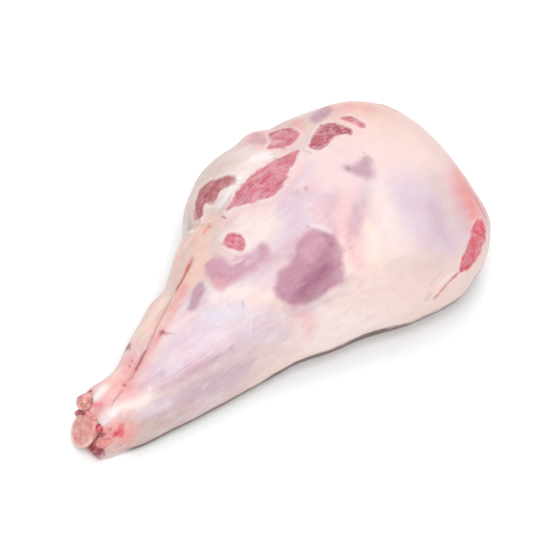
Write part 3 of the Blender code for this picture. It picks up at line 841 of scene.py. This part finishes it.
def makeSkin():
    piece = skinShape()
    chart = LegMap(pointsOf(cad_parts["leg_meat"].data))
    points = pointsOf(piece.data)
    inside, owner, x, y = bareness(chart, points, normalsOf(piece.data))
    share = (points[:, 0] - meatLow[0]) / legLength
    border = (inside > -fell["fineZone"]) & ((owner < list(exposures).index("butt")) | (inside < 5 * mm))
    finer(piece, border | (share < fell["fineShare"]) | thinStrokes(washes, chart, x, y))
    mesh = piece.data
    points = pointsOf(mesh)
    edges = edgesOf(mesh)
    inside, owner, x, y = bareness(chart, points, normalsOf(mesh))
    share, angle, radius = chart.locate(points)
    points = smoothed(points, edges, 2, (inside > -fell["fineZone"]).astype(float))
    setPoints(mesh, points)
    normals = normalsOf(mesh)

    headings = np.array([patch["fibres"] for patch in exposures.values()] + [0.0])
    turn = np.radians(headings[owner])
    along = x * np.cos(turn) + y * np.sin(turn)
    across = y * np.cos(turn) - x * np.sin(turn)
    fibre = np.stack((along, across, owner.astype(float)), axis=1)

    veil = np.zeros(len(points))
    veilTone = np.tile(np.array(seen("dusk")), (len(points), 1)) * 1e-4
    for number, patch in enumerate(veils.values()):
        line = rounded(chart.flattenPlaces(patch["outline"]))
        gap, within, way = distanceTo(line, x, y, True)
        ragged = 1.5 * mm * unevenness(points, 9 * mm, number + 3, 2)
        amount = patch["strength"] * eased(np.where(within, gap, -gap) + ragged,
                                           -patch["soft"] * mm, patch["soft"] * mm)
        veil = np.maximum(veil, amount)
        veilTone += amount[:, None] * np.array(seen(patch["tone"]))
    veilTone[:, :3] /= np.maximum(veilTone[:, 3:4], 1e-4)
    veilTone[:, 3] = 1

    seam = np.zeros(len(points))
    drop = np.zeros(len(points))
    for way, strength, width, depth in seams.values():
        gap, within, place = distanceTo(rounded(chart.flattenPlaces(way), closed=False), x, y, False)
        profile = np.exp(-(gap / (width * mm)) ** 2)
        seam = np.maximum(seam, strength * profile)
        drop -= depth * mm * profile

    bare = eased(inside, -0.2 * mm, 1.0 * mm)
    ridges = np.array([noise.noise(Vector((a / (9 * mm), b / (1.3 * mm), c * 5.0)))
                       for a, b, c in fibre[inside > -1 * mm]])
    relief = drop - fell["recess"] * bare + fell["rim"] * np.exp(-((inside + 1.2 * mm) / (1.2 * mm)) ** 2)
    relief[inside > -1 * mm] += 0.22 * mm * ridges * bare[inside > -1 * mm]
    relief += fell["swell"] * unevenness(points, 22 * mm, 1)
    for place, reach, push in pushes.values():
        turn = np.radians((angle - place[1] + 180) % 360 - 180) * radius
        gap = np.hypot((share - place[0]) * legLength, turn)
        relief += push * mm * np.exp(-(gap / (reach * mm)) ** 2)
    relief += fell["pucker"] * unevenness(points, 5 * mm, 2, 2)
    free = eased(points[:, 2], 0.0, 4 * mm)
    rest = points
    move = normals * relief[:, None]        # nothing is lifted off the table or pushed into it
    move[:, 2] *= free
    points = points + move
    points = np.clip(points, boxLow, boxHigh)
    setPoints(mesh, points)

    fat = laid(fatTones(share, angle, radius), bands, chart, rest, x, y, 2)
    wash = laid(np.zeros((len(points), 4)), washes, chart, rest, x, y, 3)
    washShare = wash[:, 3].copy()
    wash[:, :3] /= np.maximum(wash[:, 3:], 1e-6)
    wash[:, 3] = 1
    # painted contact shade: faces that turn down near the table get a dark brown-grey band, where shade falls
    # under the leg
    down = -normalsOf(mesh)[:, 2]
    foot = eased(down - 0.08 * eased(share, 0.45, 0.75), 0.03, 0.18) * (1 - eased(down, 0.80, 0.95))
    foot *= eased(share, 0.05, 0.08) * (1 - eased(points[:, 2] - boxLow[2], 28 * mm, 36 * mm))
    paint(mesh, "fat", fat)
    paint(mesh, "wash", wash)
    paint(mesh, "washShare", washShare)
    paint(mesh, "foot", foot)
    paint(mesh, "streaky", 1 - 0.7 * eased(share, 0.60, 0.74))
    paint(mesh, "bare", inside / mm)
    paint(mesh, "fibre", fibre)
    paint(mesh, "veil", veil)
    paint(mesh, "veilTone", veilTone)
    paint(mesh, "seam", seam)
    paint(mesh, "fatSeam", muscleSeams(rest, owner))
    tones = np.array([seen(patch["tone"]) for patch in exposures.values()] + [seen("flesh")])
    deeps = np.array([seen(patch["deep"]) for patch in exposures.values()] + [seen("raw")])
    paint(mesh, "lean", tones[owner])
    paint(mesh, "leanDeep", deeps[owner])
    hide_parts("leg_meat")
    return piece, chart


def skinFinish():
    f = Finish("lambFell")
    where = f.place()
    long = f.place((0.16, 1, 1))
    fat = f.read("fat", "Color")
    mottle = f.noise(where, 90, 3.0, 0.6)
    streak = (f.noise(long, 260, 3.0, 0.55, 0.4) - 0.5) * f.read("streaky") + 0.5
    grain = f.noise(where, 900, 2.0, 0.6)
    colour = f.mix(f.step(mottle, 0.35, 0.7) * 0.35, fat, f.mix(0.5, fat, tone(255, 244, 236)))
    colour = f.mix(f.step(streak, 0.5, 0.72) * 0.45, colour, f.mix(0.6, fat, tone(255, 250, 246)))
    colour = f.mix(f.step(streak, 0.52, 0.30) * 0.40, colour, f.mix(0.5, fat, tone(226, 168, 176)))

    broken = f.noise(where, 160, 3.0, 0.6) - 0.5
    veil = f.read("veil")
    veil = f.clamped(veil + broken * veil * (1 - veil) * 1.8)
    veilTone = f.mix(f.step(streak, 0.45, 0.75) * 0.3, f.read("veilTone", "Color"), tone(228, 190, 204))
    veilTone = f.mix(f.step(mottle, 0.48, 0.34) * 0.3, veilTone, tone(172, 112, 140))
    colour = f.mix(veil, colour, veilTone)
    wash, washShare = f.read("wash", "Color"), f.read("washShare")
    tattered = f.noise(where, 380, 3.0, 0.6) - 0.5
    washShare = f.clamped(washShare + (broken * 1.6 + tattered * 2.4) * washShare * (1 - washShare))
    washTone = f.mix(f.step(streak, 0.35, 0.75) * 0.35, wash, f.mix(0.5, wash, tone(250, 226, 228)))
    colour = f.mix(washShare, colour, washTone)

    fibre = f.place((130, 1100, 40), source=f.read("fibre", "Vector"))
    strands = f.noise(fibre, 1.0, 4.0, 0.6, 0.3)
    folds = f.noise(f.place((70, 430, 40), source=f.read("fibre", "Vector")), 1.0, 3.0, 0.55, 0.5)
    blotch = f.noise(where, 210, 2.0, 0.5)
    bareDepth = f.read("bare") + (f.noise(where, 200, 4.0, 0.65) - 0.5) * 4.0 + (strands - 0.5) * 3.0
    bare = f.step(bareDepth, -0.8, 1.8)
    rim = f.step(bareDepth, -2.2, -0.4) * (1 - bare)
    colour = f.mix(rim * f.step(mottle, 0.3, 0.6) * 0.6, colour, tone(254, 238, 234))
    light = f.mix(washShare, f.read("lean", "Color"), wash)
    deep = f.mix(washShare * 0.8, f.read("leanDeep", "Color"), f.mix(0.25, wash, tone(140, 40, 60)))
    lean = f.mix(f.step(strands, 0.38, 0.60), deep, light)
    lean = f.mix(f.step(folds, 0.50, 0.68) * 0.5, lean, f.mix(0.55, light, tone(252, 214, 220)))
    lean = f.mix(f.step(folds, 0.46, 0.32) * 0.6, lean, deep)
    pale = f.veins(f.place((60, 420, 40), source=f.read("fibre", "Vector")), 1.0, 0.035)
    lean = f.mix(pale * 0.4, lean, f.mix(0.5, light, tone(252, 226, 226)))
    fatSeam = f.clamped(f.read("fatSeam") * 1.3 + broken * 0.8 * f.read("fatSeam"))
    lean = f.mix(fatSeam, lean, tone(252, 226, 218))
    film = f.step(f.noise(where, 130, 3.0, 0.6, 0.4), 0.46, 0.66) * 0.7        # fell left on the muscle
    lean = f.mix(film, lean, tone(230, 170, 182))
    colour = f.mix(bare, colour, lean)
    # painted shade: a faint, blotchy darkening along the step where the fell ends over the bared muscle
    edge = f.step(bareDepth, -0.3, 0.2) * (1 - f.step(bareDepth, 0.3, 1.1))
    dark = f.mix(0.5, f.read("leanDeep", "Color"), tone(120, 50, 62))
    colour = f.mix(edge * f.step(blotch, 0.48, 0.62) * 0.15, colour, dark)
    colour = f.mix(f.clamped(f.read("seam") * (0.6 + broken)), colour, tone(206, 96, 94))
    # painted contact shade: the foot band darkens the fell to brown-grey under the leg
    colour = f.mix(f.read("foot"), colour, tone(98, 72, 66))

    rough = 0.46 - bare * 0.12 + (grain - 0.5) * 0.18
    height = grain * 0.35 + streak * 0.8 * (1 - bare) + strands * bare * 1.6
    return f.close(Base_Color=colour, Roughness=rough, Normal=f.bump(height, 0.25 * mm, 0.7),
                   Subsurface_Weight=0.22, Subsurface_Radius=(1.0, 0.4, 0.3), Subsurface_Scale=3 * mm,
                   Coat_Weight=0.18, Coat_Roughness=0.22, IOR=1.42)


# ---- the shank bone and the heel tendon

bone = {
    "spacing": 0.8 * mm,
    "tipLength": 16 * mm,        # the middle of this much of it is the middle of its bared end
    "faces": (-0.79, -0.03, 0.61),
    "ringWidth": 2.2 * mm,        # hard bone round the marrow
    "ringRise": 0.4 * mm,
    "bumps": 0.3 * mm,
}


def boneAxes():        # out of the sawn face, to the far side in it, and up in it
    facing = Vector(bone["faces"]).normalized()
    side = facing.cross(Vector((0, 0, 1))).normalized()
    return np.array(facing), np.array(side), np.array(side.cross(facing))


def boneRim(points, tip):        # how far out the bone's end reaches at each of 72 turns round it
    facing, side, rise = boneAxes()
    near = points[(points[:, 0] < boneLow[0] + 20 * mm) & ((points - tip) @ facing > -7 * mm)] - tip
    turns = np.degrees(np.arctan2(near @ rise, near @ side)) % 360
    reach = np.hypot(near @ rise, near @ side)
    rim = np.array([reach[np.abs((turns - turn + 180) % 360 - 180) < 8].max() for turn in range(0, 360, 5)])
    return (np.roll(rim, 1) + 2 * rim + np.roll(rim, -1)) / 4


def boneTip():
    shape = solidCopy("shank_bone")
    points = np.array([vertex.co for vertex in shape.verts])
    shape.free()
    return points[points[:, 0] < boneLow[0] + bone["tipLength"]].mean(axis=0)


def boneFinish():
    f = Finish("sawnBone")
    where = f.place()
    pores = f.noise(where, 640, 3.0, 0.6)
    blotch = f.noise(where, 240, 3.0, 0.6, 0.5)
    inward = f.read("inward") + (blotch - 0.5) * 1.6        # mm in from the rim
    marrow = f.mix(f.step(blotch, 0.34, 0.52), tone(224, 142, 138), tone(244, 170, 160))
    marrow = f.mix(f.step(blotch, 0.54, 0.66), marrow, tone(248, 196, 182))
    marrow = f.mix(f.step(pores, 0.52, 0.68) * 0.3, marrow, tone(200, 120, 118))
    ring = f.mix(f.step(blotch, 0.35, 0.7), tone(250, 196, 180), tone(255, 222, 206))
    colour = f.mix(f.step(inward, 3.4, 2.0), marrow, ring)
    colour = f.mix(f.step(inward, 0.7, 0.1) * 0.7, colour, tone(190, 96, 100))
    colour = f.mix(f.read("stain"), colour, tone(150, 50, 60))
    return f.close(Base_Color=colour, Roughness=0.42, Normal=f.bump(pores + blotch, 0.4 * mm, 0.8),
                   Subsurface_Weight=0.15, Subsurface_Radius=(1.0, 0.4, 0.3), Subsurface_Scale=2 * mm,
                   Coat_Weight=0.2, Coat_Roughness=0.2)


def makeBone(tip):
    piece = asObject("boneEnd", solidCopy("shank_bone"))
    evened(piece, bone["spacing"])
    mesh = piece.data
    setPoints(mesh, smoothed(pointsOf(mesh), edgesOf(mesh), 6))
    points, normals = pointsOf(mesh), normalsOf(mesh)
    rim = boneRim(points, tip)
    facing, side, rise = boneAxes()
    flat = points - tip
    turns = np.degrees(np.arctan2(flat @ rise, flat @ side)) % 360
    inward = np.interp(turns, np.arange(0, 365, 5), np.append(rim, rim[0])) - np.hypot(flat @ rise, flat @ side)
    face = eased(normals @ facing, 0.2, 0.7) * (flat @ facing > -9 * mm)
    lift = bone["ringRise"] * (1 - eased(inward, bone["ringWidth"], bone["ringWidth"] + 1.2 * mm))
    rough = unevenness(points, 3.0 * mm, 31, 2) * bone["bumps"] + unevenness(points, 12 * mm, 32) * 0.5 * mm
    points = points + normals * ((rough + lift) * face + 0.2 * mm * unevenness(points, 6 * mm, 33))[:, None]
    setPoints(mesh, np.clip(points, boxLow, boxHigh))
    paint(mesh, "inward", inward / mm)
    paint(mesh, "stain", (1 - face) * 0.75)
    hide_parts("shank_bone")
    finished(piece, boneFinish())
    return rim


knob = {"spacing": 0.5 * mm, "bumps": 0.35 * mm, "hole": (0.2, -0.5, 0.85), "holeSize": 1.3 * mm}


def knobFinish():
    f = Finish("heelTendon")
    where = f.place()
    pores = f.noise(where, 520, 3.0, 0.6)
    blotch = f.noise(where, 260, 2.0, 0.5)
    colour = f.mix(f.step(blotch, 0.35, 0.65), tone(208, 130, 128), tone(242, 172, 162))
    colour = f.mix(f.step(pores, 0.5, 0.7) * 0.4, colour, tone(250, 208, 190))
    colour = f.mix(f.read("stain"), colour, tone(176, 122, 92))
    return f.close(Base_Color=colour, Roughness=0.38, Normal=f.bump(pores, 0.3 * mm, 0.6),
                   Subsurface_Weight=0.15, Subsurface_Radius=(1.0, 0.4, 0.3), Subsurface_Scale=2 * mm,
                   Coat_Weight=0.3, Coat_Roughness=0.2)


def makeKnob():
    piece = asObject("heelKnob", solidCopy("heel_tendon"))
    evened(piece, knob["spacing"])
    mesh = piece.data
    setPoints(mesh, smoothed(pointsOf(mesh), edgesOf(mesh), 6))
    points, normals = pointsOf(mesh), normalsOf(mesh)
    middle = points[points[:, 0] < points[:, 0].min() + 9 * mm].mean(axis=0)
    pit = middle + np.array(Vector((-0.376, -0.433, 0.819))) * 5.5 * mm
    hole = np.exp(-(np.linalg.norm(points - pit, axis=1) / knob["holeSize"]) ** 2)
    rough = knob["bumps"] * unevenness(points, 3.2 * mm, 41, 2) - 0.6 * mm * hole
    setPoints(mesh, np.clip(points + normals * rough[:, None], boxLow, boxHigh))
    paint(mesh, "stain", hole)
    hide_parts("heel_tendon")
    return finished(piece, knobFinish())


# ---- torn flesh round the bone and the knob

# A collar of torn flesh round part of the bone's rim: turn in degrees, 0 to the far side, 90 up
# and 180 to the near side, and tone there. Then lumps on it: turn, reach from the middle of the
# bone's end and depth behind it in mm, half sizes in mm, tone.
torn = {
    "spacing": 0.5 * mm,
    "bumps": 0.55 * mm,
    "collar": ((35, "raw"), (55, "wine"), (70, "blood"), (85, "salmon"), (115, "peach"), (135, "blood"),
               (150, "wine"), (165, "salmon"), (185, "salmon"), (200, "wine"), (220, "brick")),
    "collarStep": 5,
    "lumps": {
        "over the bone": ((90, 17, 1), (5, 6, 2), "salmon"),
        "dark clot": ((60, 14, 0), (2.5, 3, 3), "wine"),
        "clot tail": ((35, 13, 1), (2, 2, 3), "raw"),
        "red clot": ((130, 16, 1), (3, 3, 2.5), "blood"),
        "brown fold": ((145, 19, 3), (3, 1, 2), "brick"),
        "cut lump": ((170, 16, 3), (4, 4, 4), "salmon"),
        "cut lump side": ((160, 20, 5), (4, 3, 3), "salmon"),
        "dark lump": ((195, 16, 3), (4, 4, 4), "wine"),
        "dark lump foot": ((200, 19, 5), (3, 3, 3), "dusk"),
        "knob shred": ((65, 26, 1), (3, 2, 1), "stone"),
        "knob foot": ((65, 18, 1), (3, 4, 2), "salmon"),
    },
    "crumbs": {"Grain": 0.55 * mm, "Density": 520000.0, "Seed": 5},
}


def tornLumps(rim):
    draw = np.random.default_rng(7)
    facing, side, rise = boneAxes()

    def heading(turn):
        return side * math.cos(math.radians(turn)) + rise * math.sin(math.radians(turn))

    lumps = []
    for (turn, reach, back), size, name in torn["lumps"].values():
        lumps.append((heading(turn) * reach - facing * back, size, seen(name)))
    turns = [turn for turn, name in torn["collar"]]
    tones = np.array([seen(name) for turn, name in torn["collar"]])
    for turn in range(turns[0], turns[-1] + 1, torn["collarStep"]):
        for row, (out, back) in enumerate(((0.9, 2.6), (1.9, 4.4), (1.2, 6.2))):
            reach = rim[int(round(turn / 5)) % 72] / mm + out + draw.uniform(-0.5, 0.5)
            middle = heading(turn) * reach - facing * (back + draw.uniform(-0.8, 0.8))
            size = draw.uniform(1.0, 2.0, 3) + 0.2 * row
            spot = turn + draw.uniform(-9, 9)
            lumps.append((middle, size, [np.interp(spot, turns, tones[:, k]) for k in range(4)]))
    return lumps


def tornFinish():
    f = Finish("tornFlesh")
    where = f.place()
    grain = f.noise(where, 900, 3.0, 0.6)
    blotch = f.noise(where, 420, 3.0, 0.6, 0.8)
    colour = f.read("flesh", "Color")
    colour = f.mix(f.step(blotch, 0.52, 0.62) * 0.6, colour, f.mix(0.5, colour, tone(255, 220, 210)))
    colour = f.mix(f.step(blotch, 0.46, 0.36) * 0.6, colour, f.mix(0.6, colour, tone(150, 30, 48)))
    return f.close(Base_Color=colour, Roughness=0.30 + grain * 0.16, Normal=f.bump(grain, 0.5 * mm, 0.9),
                   Subsurface_Weight=0.2, Subsurface_Radius=(1.0, 0.35, 0.25), Subsurface_Scale=2 * mm,
                   Coat_Weight=0.35, Coat_Roughness=0.18)


def crumbNodes(material):        # small crumbs scattered over a surface, with its colours
    tree = bpy.data.node_groups.new("scatteredCrumbs", "GeometryNodeTree")
    sockets = {"Geometry": tree.interface.new_socket("Geometry", in_out="INPUT",
                                                     socket_type="NodeSocketGeometry")}
    for name, kind in (("Grain", "Float"), ("Density", "Float"), ("Seed", "Int")):
        sockets[name] = tree.interface.new_socket(name, in_out="INPUT", socket_type="NodeSocket" + kind)
    tree.interface.new_socket("Geometry", in_out="OUTPUT", socket_type="NodeSocketGeometry")

    def node(kind, **settings):
        made = tree.nodes.new(kind)
        for key, value in settings.items():
            setattr(made, key, value)
        return made

    given, result = node("NodeGroupInput"), node("NodeGroupOutput")
    scatter = node("GeometryNodeDistributePointsOnFaces")
    ball = node("GeometryNodeMeshIcoSphere")
    ball.inputs["Subdivisions"].default_value = 2
    turn = node("FunctionNodeRandomValue", data_type="FLOAT_VECTOR")
    turn.inputs["Max"].default_value = (6.28, 6.28, 6.28)
    size = node("FunctionNodeRandomValue", data_type="FLOAT_VECTOR")
    size.inputs["Min"].default_value = (0.4, 0.4, 0.4)
    size.inputs["Max"].default_value = (1.6, 1.2, 1.0)
    sized = node("ShaderNodeVectorMath", operation="SCALE")
    put = node("GeometryNodeInstanceOnPoints")
    real = node("GeometryNodeRealizeInstances")
    dressed = node("GeometryNodeSetMaterial")
    dressed.inputs["Material"].default_value = material
    for start, end in ((given.outputs["Geometry"], scatter.inputs["Mesh"]),
                       (given.outputs["Density"], scatter.inputs["Density"]),
                       (given.outputs["Seed"], scatter.inputs["Seed"]),
                       (scatter.outputs["Points"], put.inputs["Points"]),
                       (ball.outputs["Mesh"], put.inputs["Instance"]),
                       (turn.outputs["Value"], put.inputs["Rotation"]),
                       (size.outputs["Value"], sized.inputs[0]),
                       (given.outputs["Grain"], sized.inputs["Scale"]),
                       (sized.outputs["Vector"], put.inputs["Scale"]),
                       (put.outputs["Instances"], real.inputs["Geometry"]),
                       (real.outputs["Geometry"], dressed.inputs["Geometry"]),
                       (dressed.outputs["Geometry"], result.inputs["Geometry"])):
        tree.links.new(start, end)
    return tree, sockets


def makeCrumbs(flesh, material):
    piece = bpy.data.objects.new("fleshCrumbs", flesh.data.copy())
    bpy.context.scene.collection.objects.link(piece)
    tree, sockets = crumbNodes(material)
    scatter = piece.modifiers.new("crumbs", "NODES")
    scatter.node_group = tree
    for name, value in torn["crumbs"].items():
        scatter[sockets[name].identifier] = value
    mesh = bpy.data.meshes.new_from_object(piece.evaluated_get(bpy.context.evaluated_depsgraph_get()))
    piece.modifiers.clear()
    piece.data = mesh
    setPoints(mesh, np.clip(pointsOf(mesh), boxLow + (0, 0, 0.3 * mm), boxHigh))
    return finished(piece, material)


def makeTornFlesh(tip, rim):
    lumps = tornLumps(rim)
    shape = bmesh.new()
    for middle, size, colour in lumps:
        made = bmesh.ops.create_icosphere(shape, subdivisions=3, radius=1.0)
        for vertex in made["verts"]:
            vertex.co = Vector([tip[k] + mm * (middle[k] + vertex.co[k] * size[k]) for k in range(3)])
    piece = asObject("tornFlesh", shape)
    evened(piece, torn["spacing"])
    mesh = piece.data
    points = smoothed(pointsOf(mesh), edgesOf(mesh), 3)
    setPoints(mesh, points)
    normals = normalsOf(mesh)
    total, weight = np.zeros((len(points), 4)), np.full((len(points), 1), 1e-9)
    for middle, size, colour in lumps:
        gap = np.linalg.norm((points - tip - np.array(middle) * mm) / (np.array(size) * mm), axis=1)
        pull = np.exp(-(gap * 1.1) ** 3)[:, None] + 1e-4 / (1 + gap[:, None] ** 4)
        total += pull * np.array(colour)
        weight += pull
    rough = torn["bumps"] * (unevenness(points, 2.4 * mm, 51, 2) - 0.1)
    points = np.clip(points + normals * rough[:, None], boxLow + (0, 0, 0.3 * mm), boxHigh)
    setPoints(mesh, points)
    paint(mesh, "flesh", total / weight)
    material = tornFinish()
    finished(piece, material)
    return makeCrumbs(piece, material)


def makeFloor():
    half = studio["floorSize"] / 2
    shape = bmesh.new()
    bmesh.ops.create_grid(shape, x_segments=1, y_segments=1, size=half)
    floor = asObject("floor", shape)
    f = Finish("paleFloor")
    mottle = f.noise(f.place(), 6.0, 2.0)
    colour = f.mix(mottle, studio["floorTone"], studio["floorShade"])
    floor.data.materials.append(f.close(Base_Color=colour, Roughness=0.7))


makeCamera()
makeLight()
makeFloor()
legSkin, legMap = makeSkin()
finished(legSkin, skinFinish())
sawnEnd = boneTip()
boneEdge = makeBone(sawnEnd)
makeKnob()
makeTornFlesh(sawnEnd, boneEdge)
